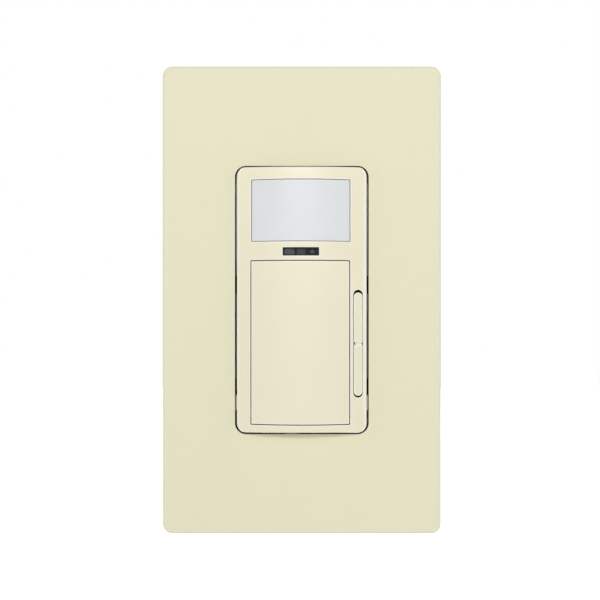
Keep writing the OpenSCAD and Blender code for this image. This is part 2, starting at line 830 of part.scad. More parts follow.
module transistor_tabs() {
    color(steel) for (x = transistor_x) {
        difference() {
            block(x - 5, x + 5, 0.25, 1.55, transistor_z0, transistor_z0 + 15.6);
            rod_y(rivet_r + eps, -1, 3, x, rivet_z);
        }
        for (i = [-1, 0, 1]) translate([x + 2.54*i, 0, 0]) {
            block(-0.4, 0.4, 2.6, 3.2, -23, transistor_z0);
            block(-0.4, 0.4, 2.6, power_y1 + 0.8, -23, -22.4);
        }
    }
}

module transistor_bodies() {
    color(black) for (x = transistor_x)
        block(x - 5, x + 5, 1.55, 4.6, transistor_z0, transistor_z0 + 9.2);
}

module transistor_rivets() {
    color(steel) for (x = transistor_x) {
        rod_y(rivet_r, strap_y - 0.1, 1.6, x, rivet_z);
        rod_y(2.6, strap_y - 0.7, strap_y, x, rivet_z);
        rod_y(2.6, 1.55, 2.3, x, rivet_z);
    }
}

choke_z = -19;
choke_y = 13.6;
choke_R = 6.7;
choke_r = 3;
choke_turns = 18;

module choke_core() {
    color([0.85, 0.8, 0.3]) translate([0, choke_y, choke_z]) rotate([90, 0, 0])
        rotate_extrude() translate([choke_R, 0]) circle(choke_r);
}

module choke_winding() {
    wire = 0.35;
    color([0.75, 0.42, 0.2]) for (i = [0 : choke_turns - 1])
        translate([0, choke_y, choke_z]) rotate([0, i*360/choke_turns, 0]) translate([choke_R, 0, 0])
            rotate_extrude() translate([choke_r + wire + 0.03, 0]) circle(wire);
}

module film_capacitor() {
    color([0.75, 0.65, 0.35]) slab(15, 8, 0.8, power_y1 + 0.1, 20, 0, 3.4);
}

module storage_capacitors() {
    color([0.1, 0.12, 0.3]) {
        rod_y(5, power_y1 + 0.2, 25, -9, 21);
        rod_y(3.15, power_y1 + 0.2, 20, 1.5, 24);
    }
}

module varistor() {
    color([0.2, 0.35, 0.6]) rod_x(4.8, 9, 12.6, 14.4, 23.5);
}

module fuse_tube() {
    color([0.9, 0.9, 0.86]) rod_z(1.3, -3.5, 3.5, -11, 11.2);
}

module fuse_caps() {
    color(steel) for (z = [-5.2, 3.5]) rod_z(1.5, z, z + 1.7, -11, 11.2);
}

// ---- Rear housing and terminals ----

module rear_housing() {
    lip = 0.05;
    color([0.16, 0.16, 0.17]) difference() {
        union() {
            difference() {
                translate([0, lip, 0]) mirror([0, 1, 0])
                    soft_slab(housing_w, housing_h, 2, 0.9, housing_d - lip);
                slab(housing_w - 2*housing_wall, housing_h - 2*housing_wall, 0.5, -1,
                     housing_d - housing_wall);
            }
            // screw posts
            for (sx = [-1, 1], sz = [-1, 1]) rod_y(3.2, lip, 14, sx*case_screw_x, sz*case_screw_z);
            // terminal blocks
            at_terminals() block(pocket_x - pocket_wall, housing_w/2 - 0.1, pocket_y0 - pocket_wall,
                                 housing_d - 0.9, -pocket_half_z - pocket_wall, pocket_half_z + pocket_wall);
        }
        for (sx = [-1, 1], sz = [-1, 1]) {
            rod_y(case_screw_r + eps, -1, 9, sx*case_screw_x, sz*case_screw_z);
            // keep the posts inside the outer wall
            scale_x(sx) block(housing_w/2, housing_w, -1, 40, -60, 60);
            block(-60, 60, -1, 40, sz > 0 ? housing_h/2 : -80, sz > 0 ? 80 : -housing_h/2);
        }
        // seam round the walls, blank recessed panel and wire strip gauge
        difference() {
            slab(housing_w + 2, housing_h + 2, 2, 5.8, 6.1);
            slab(housing_w - 0.5, housing_h - 0.5, 1.75, 5, 7);
        }
        slab(22, 40, 1, housing_d - 0.35, housing_d + 1);
        slab(1.6, 14, 0.8 - eps, housing_d - 0.6, housing_d + 1, 0, -26.6);
        at_terminals() {
            block(pocket_x, housing_w, pocket_y0, pocket_y1, -pocket_half_z, pocket_half_z);
            // way in for the terminal plate's tab
            block(pocket_x - 0.05, pocket_x + 0.85, 0, pocket_y0 + 1, -1.05, 1.05);
        }
        for (sx = [-1, 1], sz = [-1, 1])
            rod_y(wire_r, pocket_y1 - 1, housing_d + 1, sx*wire_x, sz*(terminal_z + wire_z_offset));
    }
}

module terminal_plates() {
    color(brass) at_terminals() {
        difference() {
            block(pocket_x, pocket_x + plate_layer, pocket_y0 + 0.1, pocket_y1 - 0.1,
                  -pocket_half_z + 0.1, pocket_half_z - 0.1);
            rod_x(terminal_screw_r + eps, pocket_x - 1, pocket_x + 2, terminal_mid_y, 0);
        }
        block(pocket_x, pocket_x + 0.8, power_y0 - 0.7, pocket_y0 + 0.2, -1, 1);
    }
}

module terminal_clamps() {
    color(brass) at_terminals() difference() {
        block(clamp_x, clamp_x + plate_layer, pocket_y0 + 0.9, pocket_y1 - 0.6,
              -pocket_half_z + 0.4, pocket_half_z - 0.4);
        rod_x(terminal_screw_r + 0.15, clamp_x - 1, clamp_x + 2, terminal_mid_y, 0);
    }
}

module terminal_screws() {
    color(brass) at_terminals() difference() {
        union() {
            rod_x(terminal_screw_r, pocket_x + 0.1, clamp_x + plate_layer + 0.1, terminal_mid_y, 0);
            rod_x(3.4, clamp_x + plate_layer, 21.4, terminal_mid_y, 0);
        }
        block(20.6, 25, terminal_mid_y - 0.5, terminal_mid_y + 0.5, -4, 4);
    }
}

plate_cover();
plate_subframe();
plate_screws();
face_frame();
sensor_lens();
status_window();
paddle();
dimmer_bar();
bar_pin();
indicator_holder();
status_leds();
photocell();
control_board();
control_chip();
board_parts();
switch_bodies();
switch_covers();
paddle_plunger();
raise_plunger();
lower_plunger();
carrier_tray();
header_block();
header_pins();
sensor_shroud();
sensor_board();
motion_sensor();
sensor_filter();
sensor_pins();
mounting_strap();
device_screws();
ground_screw();
housing_screws();
service_tab();
service_bridge();
service_contacts();
power_board();
transistor_pads();
transistor_tabs();
transistor_bodies();
transistor_rivets();
choke_core();
choke_winding();
film_capacitor();
storage_capacitors();
varistor();
fuse_tube();
fuse_caps();
rear_housing();
terminal_plates();
terminal_clamps();
terminal_screws();
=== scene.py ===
import json
import math

import bmesh
import bpy
from mathutils import Matrix, Vector


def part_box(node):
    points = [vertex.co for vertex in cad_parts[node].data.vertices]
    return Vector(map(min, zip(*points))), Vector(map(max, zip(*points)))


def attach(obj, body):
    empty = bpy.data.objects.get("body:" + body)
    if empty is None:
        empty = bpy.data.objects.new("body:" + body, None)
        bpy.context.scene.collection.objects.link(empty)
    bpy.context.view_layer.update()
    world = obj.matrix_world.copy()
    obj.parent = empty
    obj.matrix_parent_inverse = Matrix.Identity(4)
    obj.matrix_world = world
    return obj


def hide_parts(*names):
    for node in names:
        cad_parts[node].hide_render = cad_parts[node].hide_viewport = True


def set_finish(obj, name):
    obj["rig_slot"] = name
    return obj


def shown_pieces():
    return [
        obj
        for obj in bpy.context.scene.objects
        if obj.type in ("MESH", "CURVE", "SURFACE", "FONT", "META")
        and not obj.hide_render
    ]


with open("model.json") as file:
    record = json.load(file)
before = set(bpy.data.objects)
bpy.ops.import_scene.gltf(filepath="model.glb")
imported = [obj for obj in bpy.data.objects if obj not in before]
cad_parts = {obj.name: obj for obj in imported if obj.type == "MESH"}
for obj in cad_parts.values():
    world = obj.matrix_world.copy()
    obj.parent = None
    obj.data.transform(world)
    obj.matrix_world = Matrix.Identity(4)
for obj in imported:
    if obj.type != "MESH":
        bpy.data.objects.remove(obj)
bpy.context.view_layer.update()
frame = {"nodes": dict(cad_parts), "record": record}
NODES = frame["nodes"]
MM = 0.001


# ---------------------------------------------------------------- the face's dimensions, in millimetres

FACE_W = 32.9
FACE_CORNER = 2.4
FACE_WALL = 1.1
FACE_T = 1.6
BOW_R = 42
OPENING_GAP = 0.2
PADDLE_W = 24.3
PADDLE_SKIRT = 1.0
LENS_FLANGE = 0.8
LENS_SIDE_GAP = 0.1
WINDOW_W = 8.9
BAR_SIDE_GAP = 0.07
BAR_END_GAP = 0.3
PADDLE_PIN_Y = -6.0
PADDLE_PIN_Z = 8.2
BAR_PIN_Y = -5.2


def low(node):
    """Lowest corner of a CAD node's box, in millimetres."""
    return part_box(node)[0] / MM


def high(node):
    """Highest corner of a CAD node's box, in millimetres."""
    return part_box(node)[1] / MM


def middle(node):
    return (low(node) + high(node)) / 2


def size(node):
    return high(node) - low(node)


FACE_H = size("face_frame").z
FACE_FRONT = low("face_frame").y


def bow(x):
    """How far the face has curved back at x from its middle."""
    return BOW_R - math.sqrt(BOW_R * BOW_R - x * x)


# ---------------------------------------------------------------- mesh building

def rounded_rect(w, h, r, x=0.0, z=0.0, steps=8):
    """Points round a rounded rectangle in X and Z."""
    r = max(min(r, w / 2 - 0.005, h / 2 - 0.005), 0.02)
    points = []
    for sx, sz, start in ((1, 1, 0), (-1, 1, 90), (-1, -1, 180), (1, -1, 270)):
        for i in range(steps + 1):
            a = math.radians(start + 90 * i / steps)
            points.append((x + sx * (w / 2 - r) + r * math.cos(a), z + sz * (h / 2 - r) + r * math.sin(a)))
    return points


class Build:
    """A mesh under construction, in millimetres."""

    def __init__(self):
        self.bm = bmesh.new()

    def ring(self, points, y):
        return [self.bm.verts.new((x, y, z)) for x, z in points]

    def circle(self, r, y, x=0.0, z=0.0, count=48):
        turn = 2 * math.pi / count
        return self.ring([(x + r * math.cos(i * turn), z + r * math.sin(i * turn)) for i in range(count)], y)

    def bridge(self, a, b):
        for i in range(len(a)):
            j = (i + 1) % len(a)
            self.bm.faces.new((a[i], a[j], b[j], b[i]))
        return b

    def stack(self, rings):
        for a, b in zip(rings, rings[1:]):
            self.bridge(a, b)
        return rings[0], rings[-1]

    def fill(self, *rings):
        """The flat face inside the first ring and outside the others."""
        edges = []
        for ring in rings:
            for a, b in zip(ring, ring[1:] + ring[:1]):
                edges.append(self.bm.edges.get((a, b)) or self.bm.edges.new((a, b)))
        bmesh.ops.triangle_fill(self.bm, use_beauty=True, use_dissolve=False, edges=edges, normal=(0, -1, 0))

    def lip(self, w, h, r, x, z, front, radius, hole=False, steps=5):
        """A rounded rectangle's soft front edge: (ring on the front face, ring where the wall starts)."""
        side = -1 if hole else 1
        rings = []
        for i in range(steps + 1):
            a = math.radians(90 * i / steps)
            inset = side * radius * (1 - math.sin(a))
            outline = rounded_rect(w - 2 * inset, h - 2 * inset, r - inset, x, z)
            rings.append(self.ring(outline, front + radius * (1 - math.cos(a))))
        return self.stack(rings)

    def block(self, x0, x1, y0, y1, z0, z1, soft=0.1):
        """A box between two corners, its edges rounded by soft."""
        made = bmesh.ops.create_cube(self.bm, size=1)["verts"]
        for v in made:
            v.co = Vector((
                x0 if v.co.x < 0 else x1,
                y0 if v.co.y < 0 else y1,
                z0 if v.co.z < 0 else z1,
            ))
        if soft:
            edges = list(dict.fromkeys(e for v in made for e in v.link_edges))
            bmesh.ops.bevel(self.bm, geom=edges, offset=soft, segments=2, profile=0.5, affect="EDGES")

    def turned(self, profile, x=0.0, z=0.0, count=48):
        """A solid turned about a line along Y, from (radius, y) pairs, closed at both ends."""
        rings = [self.circle(max(r, 0.001), y, x, z, count) for r, y in profile]
        self.stack(rings)
        self.bm.faces.new(rings[0])
        self.bm.faces.new(rings[-1])

    def rod_x(self, r, x0, x1, y, z, count=32, soft=0.08):
        """A round rod along X with softened ends."""
        before = set(self.bm.verts)
        self.turned([(r - soft, 0), (r, soft), (r, x1 - x0 - soft), (r - soft, x1 - x0)], count=count)
        for v in set(self.bm.verts) - before:
            v.co = Vector((x0 + v.co.y, y + v.co.x, z + v.co.z))

    def cut_columns(self, step=1.0):
        """Cuts the mesh at regular X, so that it can follow the bow."""
        reach = max(abs(v.co.x) for v in self.bm.verts)
        for i in range(-int(reach / step), int(reach / step) + 1):
            geometry = self.bm.verts[:] + self.bm.edges[:] + self.bm.faces[:]
            place = (i * step, 0, 0)
            bmesh.ops.bisect_plane(self.bm, geom=geometry, plane_co=place, plane_no=(1, 0, 0), dist=1e-4)

    def follow_bow(self, reach):
        """Moves everything in front of y = reach back by the bow."""
        for v in self.bm.verts:
            if v.co.y < reach:
                v.co.y += bow(v.co.x)

    def mesh(self, name, sharp=32):
        """The finished mesh in metres, with edges steeper than sharp degrees left hard."""
        bmesh.ops.remove_doubles(self.bm, verts=self.bm.verts, dist=0.0005)
        bmesh.ops.recalc_face_normals(self.bm, faces=self.bm.faces)
        for e in self.bm.edges:
            e.smooth = len(e.link_faces) == 2 and e.calc_face_angle(0) < math.radians(sharp)
        for f in self.bm.faces:
            f.smooth = True
        data = bpy.data.meshes.new(name)
        self.bm.to_mesh(data)
        self.bm.free()
        data.validate()
        data.transform(Matrix.Scale(MM, 4))
        return data

    def piece(self, name, body, slot, node=None, sharp=32, cutter=None):
        """The finished object, riding on its body and standing for its CAD node."""
        data = self.mesh(name, sharp)
        piece = bpy.data.objects.new(name, data)
        bpy.context.scene.collection.objects.link(piece)
        if cutter:
            cut_away(piece, cutter, sharp)
        normals = piece.modifiers.new("normals", "WEIGHTED_NORMAL")
        normals.keep_sharp = True
        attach(piece, body)
        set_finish(piece, slot)
        if node:
            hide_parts(node)
        return piece


def cut_away(piece, cutter, sharp):
    """Cuts the cutter's shape out of the piece, for good."""
    tool = bpy.data.objects.new("cutter", cutter.mesh("cutter"))
    bpy.context.scene.collection.objects.link(tool)
    modifier = piece.modifiers.new("cut", "BOOLEAN")
    modifier.object = tool
    modifier.solver = "EXACT"
    modifier.use_self = True
    depsgraph = bpy.context.evaluated_depsgraph_get()
    result = bpy.data.meshes.new_from_object(piece.evaluated_get(depsgraph))
    piece.modifiers.remove(modifier)
    bpy.data.objects.remove(tool)
    shape = bmesh.new()
    shape.from_mesh(result)
    for e in shape.edges:
        e.smooth = len(e.link_faces) == 2 and e.calc_face_angle(0) < math.radians(sharp)
    shape.to_mesh(result)
    shape.free()
    result.validate()
    piece.data = result


# ---------------------------------------------------------------- the face

LENS_W = size("sensor_lens").x - 2 * LENS_FLANGE - 0.25
LENS_H = size("sensor_lens").z - 2 * LENS_FLANGE
BAR_W = size("dimmer_bar").x
BAR_H = size("dimmer_bar").z
PADDLE_H = size("paddle").z - 0.2
WINDOW_H = size("status_window").z
OPENING_EDGE = 0.12
FACE_EDGE = 0.42
DRAFT_X = 0.12
DRAFT_Z = 0.085
DRAFT_ROOT = -5
FACE_BACK = -1.5
BEND_REACH = FACE_FRONT + 3
OUTER_BAND = 0.9
SNAP_LEG_ZS = (-22.5, 4.0)
PRY_NOTCH_Z = (-23.8, -22.2)
GUIDE_RIB_Z = (-27.7, -24)


def opening(node, w, h, r, gap_x, gap_z):
    """The frame's opening for a piece: width, height, corner radius and middle."""
    place = middle(node)
    return w + 2 * gap_x, h + 2 * gap_z, r, place.x, place.z


def lean_outer_wall(b):
    """The draft of the frame's outer wall: it leans in towards the front."""
    for v in b.bm.verts:
        ahead = max(0.0, DRAFT_ROOT - v.co.y)
        if abs(v.co.z) > FACE_H / 2 - OUTER_BAND:
            v.co.z -= math.copysign(DRAFT_Z * ahead, v.co.z)
        if abs(v.co.x) > FACE_W / 2 - OUTER_BAND:
            v.co.x -= math.copysign(DRAFT_X * ahead, v.co.x)


def face_frame():
    """The convex frame: rounded outer edge, four openings, hollow behind, with its ribs and snap legs."""
    b = Build()
    front, wall = b.lip(FACE_W, FACE_H, FACE_CORNER, 0, 0, FACE_FRONT, FACE_EDGE)
    root = b.ring(rounded_rect(FACE_W, FACE_H, FACE_CORNER), DRAFT_ROOT)
    back = b.ring(rounded_rect(FACE_W, FACE_H, FACE_CORNER), FACE_BACK)
    inner = (FACE_W - 2 * FACE_WALL, FACE_H - 2 * FACE_WALL, FACE_CORNER - FACE_WALL)
    inner_back = b.ring(rounded_rect(*inner), FACE_BACK)
    ceiling = b.ring(rounded_rect(*inner), FACE_FRONT + FACE_T)
    b.stack([wall, root, back, inner_back, ceiling])
    fronts, backs = [], []
    for w, h, r, x, z in (
        opening("sensor_lens", LENS_W, LENS_H, 0.25, LENS_SIDE_GAP, LENS_SIDE_GAP),
        opening("status_window", WINDOW_W, WINDOW_H, 0.15, 0.05, 0.05),
        opening("paddle", PADDLE_W, PADDLE_H, 0.25, OPENING_GAP, OPENING_GAP),
        opening("dimmer_bar", BAR_W, BAR_H, BAR_W / 2 + BAR_SIDE_GAP, BAR_SIDE_GAP, BAR_END_GAP),
    ):
        hole_front, hole_wall = b.lip(w, h, r, x, z, FACE_FRONT, OPENING_EDGE, hole=True, steps=3)
        hole_back = b.ring(rounded_rect(w, h, r, x, z), FACE_FRONT + FACE_T)
        b.bridge(hole_wall, hole_back)
        fronts.append(hole_front)
        backs.append(hole_back)
    b.fill(front, *fronts)
    b.fill(ceiling, *backs)
    b.cut_columns()
    b.follow_bow(BEND_REACH)
    lean_outer_wall(b)

    for x0, x1 in ((-14.6, -13.1), (12.35, 13.85)):
        b.block(x0, x1, -8.4, PADDLE_PIN_Y + 1.6, PADDLE_PIN_Z - 1.7, PADDLE_PIN_Z + 1.7)
    bar = middle("dimmer_bar")
    rib_x0 = middle("paddle").x + PADDLE_W / 2 + OPENING_GAP
    rib_x1 = bar.x - BAR_W / 2 - 0.17
    b.block(rib_x0 + 0.02, rib_x1, -8.6, -6.3, bar.z - 13.2, bar.z + 13.2, soft=0)
    b.block(11.3, rib_x1, -6.5, -3.9, bar.z - 1.4, bar.z + 1.4)
    for side in (-1, 1):
        edge = side * FACE_W / 2
        x0, x1 = sorted((edge - side * 0.2, edge + side * 0.2))
        b.block(x0, x1, -6.2, -2, *GUIDE_RIB_Z, soft=0.05)
        leg_in = edge - side * FACE_WALL
        for z in SNAP_LEG_ZS:
            x0, x1 = sorted((leg_in, edge))
            b.block(x0, x1, FACE_BACK - 0.3, 1.9, z - 2, z + 2, soft=0.15)
            x0, x1 = sorted((leg_in, edge + side * 0.45))
            b.block(x0, x1, 0.1, 1.5, z - 2, z + 2, soft=0.2)

    tools = Build()
    for side in (-1, 1):
        x0, x1 = sorted((side * (FACE_W / 2 - 0.3), side * (FACE_W / 2 + 2)))
        tools.block(x0, x1, -8.4, -5.4, *PRY_NOTCH_Z, soft=0)
    tab = middle("service_tab").x
    track = (tab - 3.05, tab + 6.05)
    bottom = -FACE_H / 2
    tools.block(*track, -7.8, 0.2, bottom - 1, bottom + 0.75, soft=0)
    tools.block(*track, -3.4, 0.2, bottom - 1, bottom + FACE_WALL + 0.1, soft=0)
    return b.piece("face_frame_shell", "root", "face_ivory", "face_frame", cutter=tools)


def sensor_lens():
    """The lens: one curved sheet with a softened rim, its flange, and fine ribs on its back."""
    b = Build()
    x, z = middle("sensor_lens").x, middle("sensor_lens").z
    sink, sheet, radius = 0.1, 0.7, 0.22
    front = FACE_FRONT + sink
    back = FACE_FRONT + FACE_T + 0.7
    face, wall = b.lip(LENS_W, LENS_H, 0.24, x, z, front, radius)
    flange_y = FACE_FRONT + FACE_T + 0.05
    flange = (LENS_W + 2 * LENS_FLANGE, LENS_H + 2 * LENS_FLANGE, 0.5, x, z)

    def inside(inset, y):
        return b.ring(rounded_rect(LENS_W - inset, LENS_H - inset, 0.3, x, z), y)

    inset = 1.6
    rings = [
        wall,
        b.ring(rounded_rect(LENS_W, LENS_H, 0.24, x, z), flange_y),
        b.ring(rounded_rect(*flange), flange_y),
        b.ring(rounded_rect(*flange), back),
        inside(inset, back),
        inside(inset, front + sheet),
    ]
    rib, pitch, step, bare_middle = 0.12, 0.9, 0.1, 2.5
    while LENS_H - inset > bare_middle:
        inset += pitch
        rings.append(inside(inset, front + sheet + rib))
        inset += step
        rings.append(inside(inset, front + sheet))
    b.stack(rings)
    b.fill(face)
    b.fill(rings[-1])
    b.cut_columns()
    b.follow_bow(BEND_REACH)
    return b.piece("sensor_lens_sheet", "root", "lens_white", "sensor_lens")


def status_window():
    """The smoked window: a thin pane with a soft rim."""
    b = Build()
    x, z = middle("status_window").x, middle("status_window").z
    sink, pane = 0.12, 0.8
    face, wall = b.lip(WINDOW_W, WINDOW_H, 0.12, x, z, FACE_FRONT + sink, 0.08, steps=3)
    back = b.ring(rounded_rect(WINDOW_W, WINDOW_H, 0.12, x, z), FACE_FRONT + sink + pane)
    b.bridge(wall, back)
    b.fill(face)
    b.fill(back)
    b.cut_columns()
    b.follow_bow(BEND_REACH)
    return b.piece("smoked_window", "root", "smoke", "status_window")


def indicator_holder():
    """The black holder behind the window: three cells with raised rims."""
    b = Build()
    x, z = middle("status_window").x, middle("status_window").z
    lo, hi = low("indicator_holder"), high("indicator_holder")
    floor_y = FACE_FRONT + 1.7
    rim_y = FACE_FRONT + 1.25
    b.block(lo.x, hi.x, floor_y + 0.4, hi.y, lo.z, hi.z, soft=0.15)
    b.block(x - 4.4, x + 4.4, floor_y, floor_y + 0.6, z - 0.95, z + 0.95, soft=0)
    wall = 0.14
    for x0, x1 in ((-4.35, -1.35), (-1.25, 1.25), (1.35, 4.35)):
        for z0, z1 in ((-0.95, -0.95 + wall), (0.95 - wall, 0.95)):
            b.block(x + x0, x + x1, rim_y, floor_y + 0.1, z + z0, z + z1, soft=0.04)
        for left in (x0, x1 - wall):
            b.block(x + left, x + left + wall, rim_y, floor_y + 0.1, z - 0.95, z + 0.95, soft=0.04)
    return b.piece("indicator_cells", "root", "black_plastic", "indicator_holder")


def status_leds():
    """Two lamps: a light guide with fine ribs at the left and a bare lamp deep in the right cell."""
    b = Build()
    x, z = middle("status_window").x, middle("status_window").z
    y = FACE_FRONT + 1.45
    b.block(x - 4.1, x - 1.6, y, y + 0.4, z - 0.72, z + 0.72, soft=0.05)
    for i in range(9):
        left = x - 4.0 + 0.27 * i
        b.block(left, left + 0.14, y - 0.08, y + 0.1, z - 0.68, z + 0.68, soft=0.03)
    b.block(x + 2.3, x + 3.3, y + 0.15, y + 0.5, z - 0.4, z + 0.4, soft=0.12)
    return b.piece("status_lamps", "root", "led", "status_leds")


def photocell():
    """The light sensor: a small resin body with a square well in its face."""
    b = Build()
    x, z = middle("photocell").x, middle("photocell").z
    y = FACE_FRONT + 1.42
    outer = b.ring(rounded_rect(2.0, 1.44, 0.12, x, z), y)
    inner = b.ring(rounded_rect(1.3, 0.86, 0.1, x, z), y)
    b.stack([
        inner,
        outer,
        b.ring(rounded_rect(2.0, 1.44, 0.12, x, z), y + 0.5),
    ])
    well = b.ring(rounded_rect(1.2, 0.76, 0.1, x, z), y + 0.2)
    b.bridge(inner, well)
    b.fill(well)
    return b.piece("light_sensor", "root", "photocell", "photocell")


def paddle():
    """The push paddle: a bowed cap with a skirt, and its pins, ribs and nub behind."""
    b = Build()
    x, z = middle("paddle").x, middle("paddle").z
    front = low("paddle").y
    thickness = 1.5
    skirt_y = -7.4
    face, wall = b.lip(PADDLE_W, PADDLE_H, 0.27, x, z, front, 0.25)
    inner = (PADDLE_W - 2 * PADDLE_SKIRT, PADDLE_H - 2 * PADDLE_SKIRT, 0.3, x, z)
    skirt = b.ring(rounded_rect(PADDLE_W, PADDLE_H, 0.27, x, z), skirt_y)
    ceiling = b.ring(rounded_rect(*inner), front + thickness)
    b.stack([wall, skirt, b.ring(rounded_rect(*inner), skirt_y), ceiling])
    b.fill(face)
    b.fill(ceiling)
    for rib in (-13, -6, 9):
        b.block(x - 11, x + 11, -10.2, -7.9, z + rib - 0.4, z + rib + 0.4, soft=0.05)
    nub_end = low("paddle_plunger").y - 0.1
    nub = [(1.5, -10.4), (1.6, -10.3), (1.6, nub_end - 0.1), (1.5, nub_end)]
    b.turned(nub, x, middle("paddle_plunger").z)
    b.cut_columns()
    b.follow_bow(BEND_REACH)
    pin_reach = size("paddle").x / 2
    for side in (-1, 1):
        x0, x1 = sorted((x + side * (PADDLE_W / 2 - 1.3), x + side * PADDLE_W / 2))
        b.block(x0, x1, -8.2, PADDLE_PIN_Y + 1.2, PADDLE_PIN_Z - 1.3, PADDLE_PIN_Z + 1.3, soft=0.3)
        x0, x1 = sorted((x + side * (PADDLE_W / 2 - 0.2), x + side * pin_reach))
        b.rod_x(0.8, x0, x1, PADDLE_PIN_Y, PADDLE_PIN_Z)
    return b.piece("paddle_cap", "paddle", "face_ivory", "paddle")


def dimmer_bar():
    """The rocker bar: a capsule with a waist nipped in at its sides and across its front."""
    b = Build()
    x, z = middle("dimmer_bar").x, middle("dimmer_bar").z
    proud = 0.3
    body_back = -6.9
    length, drop = BAR_H - 0.5, 0.12
    face, wall = b.lip(BAR_W, length, BAR_W / 2, x, z - drop, FACE_FRONT - proud, 0.32)
    back = b.ring(rounded_rect(BAR_W, length, BAR_W / 2, x, z - drop), body_back)
    b.bridge(wall, back)
    b.fill(face)
    b.fill(back)
    b.cut_columns(0.5)
    b.follow_bow(BEND_REACH)
    front = FACE_FRONT - proud + bow(x)
    tools = Build()
    for side in (-1, 1):
        tools.turned([(0.4, front - 1), (0.4, front + 1.4)], x + side * (BAR_W / 2 + 0.1), z, 24)
    tools.rod_x(0.55, x - 2, x + 2, front - 0.17, z, soft=0)
    return b.piece("dimmer_rocker", "dimmer_bar", "face_ivory", "dimmer_bar", cutter=tools)


def dimmer_bar_stem():
    """What the rocker bar has behind the face: its stem round the pin, and its two nubs."""
    b = Build()
    z = middle("dimmer_bar").z
    nub_x = middle("raise_plunger").x
    b.block(nub_x - 0.6, 14.95, -7.2, BAR_PIN_Y + 1.2, z - 1.2, z + 1.2, soft=0.25)
    for plunger in ("raise_plunger", "lower_plunger"):
        b.turned([(0.6, -7.1), (0.6, -6.4), (0.5, -6.3)], nub_x, middle(plunger).z, 24)
    return b.piece("dimmer_rocker_stem", "dimmer_bar", "face_ivory")


# ---------------------------------------------------------------- screws with real threads

def thread(b, x, z, y0, y1, r_root, r_crest, pitch, turn_steps=36, rows=8):
    """A helical thread round a line along Y. Its first and last turns lie inside what they join."""
    count = int((y1 - y0) / pitch * rows)
    grid = []
    for i in range(count + 1):
        row = []
        for j in range(turn_steps):
            along = i / rows + j / turn_steps
            share = (i % rows) / rows
            crest = 1 - abs(2 * share - 1)
            r = r_root + (r_crest - r_root) * min(1.0, crest * 1.15)
            a = 2 * math.pi * j / turn_steps
            y = y0 + along * pitch
            row.append(b.bm.verts.new((x + r * math.cos(a), y, z + r * math.sin(a))))
        grid.append(row)
    for i in range(count):
        for j in range(turn_steps - 1):
            b.bm.faces.new((grid[i][j], grid[i][j + 1], grid[i + 1][j + 1], grid[i + 1][j]))
        if i + rows + 1 <= count:
            b.bm.faces.new((grid[i][-1], grid[i + rows][0], grid[i + rows + 1][0], grid[i + 1][-1]))


def device_screws():
    """The two long screws that hold the strap to the wall box: cross-slotted heads and threaded shanks."""
    strap_y = low("mounting_strap").y
    r_root, r_crest, pitch = 1.36, 1.75, 0.794
    head_r = 3.6
    tip = high("device_screws").y
    reach = size("device_screws").z / 2 - head_r
    b, tools, shanks = Build(), Build(), Build()
    shank = [(1.2, 0.1), (r_root + 0.02, 0.4), (r_root + 0.02, tip - 1.6), (0.95, tip - 0.2), (0.8, tip)]
    for z in (-reach, reach):
        b.turned([
            (0.01, strap_y - 2.1), (1.9, strap_y - 2.06), (2.75, strap_y - 1.9), (3.35, strap_y - 1.55),
            (head_r, strap_y - 1.1), (head_r, strap_y - 0.12), (head_r - 0.12, strap_y),
            (1.4, strap_y + 0.01), (1.4, 0.3),
        ], 0, z)
        shanks.turned(shank, 0, z)
        thread(shanks, 0, z, 0.4, tip - 2.0, r_root, r_crest, pitch)
        shanks.turned([(1.45, 0.02), (r_crest, 0.3), (r_crest, 1.0), (r_root, 1.5)], 0, z)
        tools.block(-4, 4, strap_y - 3, strap_y - 1.1, z - 0.45, z + 0.45, soft=0)
        tools.block(-0.45, 0.45, strap_y - 3, strap_y - 1.1, z - 2.2, z + 2.2, soft=0)
    shanks.piece("long_screw_shanks", "root", "zinc_steel")
    return b.piece("long_screws", "root", "zinc_steel", "device_screws", cutter=tools)


def terminal_screws():
    """Four brass binding screws, their heads slotted both ways."""
    y = middle("terminal_screws").y
    reach = high("terminal_screws").x
    head_r, length = 3.4, 6.6
    screw_z = size("terminal_screws").z / 2 - head_r
    profile = [
        (1.7, 0), (1.7, 4.3), (3.35, 4.35), (head_r, 4.5),
        (head_r, 6.1), (3.2, 6.4), (2.4, 6.55), (0.01, length),
    ]
    b, tools = Build(), Build()
    for side in (-1, 1):
        for z in (-screw_z, screw_z):
            before = set(b.bm.verts)
            b.turned(profile)
            for v in set(b.bm.verts) - before:
                v.co = Vector((side * (reach - length + v.co.y), y + v.co.x, z + v.co.z))
            x0, x1 = sorted((side * (reach - 0.8), side * (reach + 1)))
            tools.block(x0, x1, y - 0.5, y + 0.5, z - 4, z + 4, soft=0)
            tools.block(x0, x1, y - 2.1, y + 2.1, z - 0.5, z + 0.5, soft=0)
    return b.piece("binding_screws", "root", "brass", "terminal_screws", cutter=tools)


def ground_screw():
    """The green earthing screw: hexagonal washer head, slotted, behind the strap."""
    place = middle("ground_screw")
    lo, hi = low("ground_screw"), high("ground_screw")
    b, tools = Build(), Build()
    x, z = place.x, place.z
    b.turned([
        (1.3, lo.y), (1.75, lo.y + 0.3), (1.75, 1.2), (2.7, 1.12), (2.9, 1.25), (2.9, 1.5), (2.6, 1.62),
    ], x, z)
    b.turned([(2.62, 1.5), (2.7, 1.6), (2.7, hi.y - 0.35), (2.3, hi.y)], x, z, 6)
    tools.block(x - 4, x + 4, hi.y - 0.7, hi.y + 1, z - 0.4, z + 0.4, soft=0)
    return b.piece("earth_screw", "root", "ground_green", "ground_screw", cutter=tools)


# ---------------------------------------------------------------- capacitors, switch covers and the chip

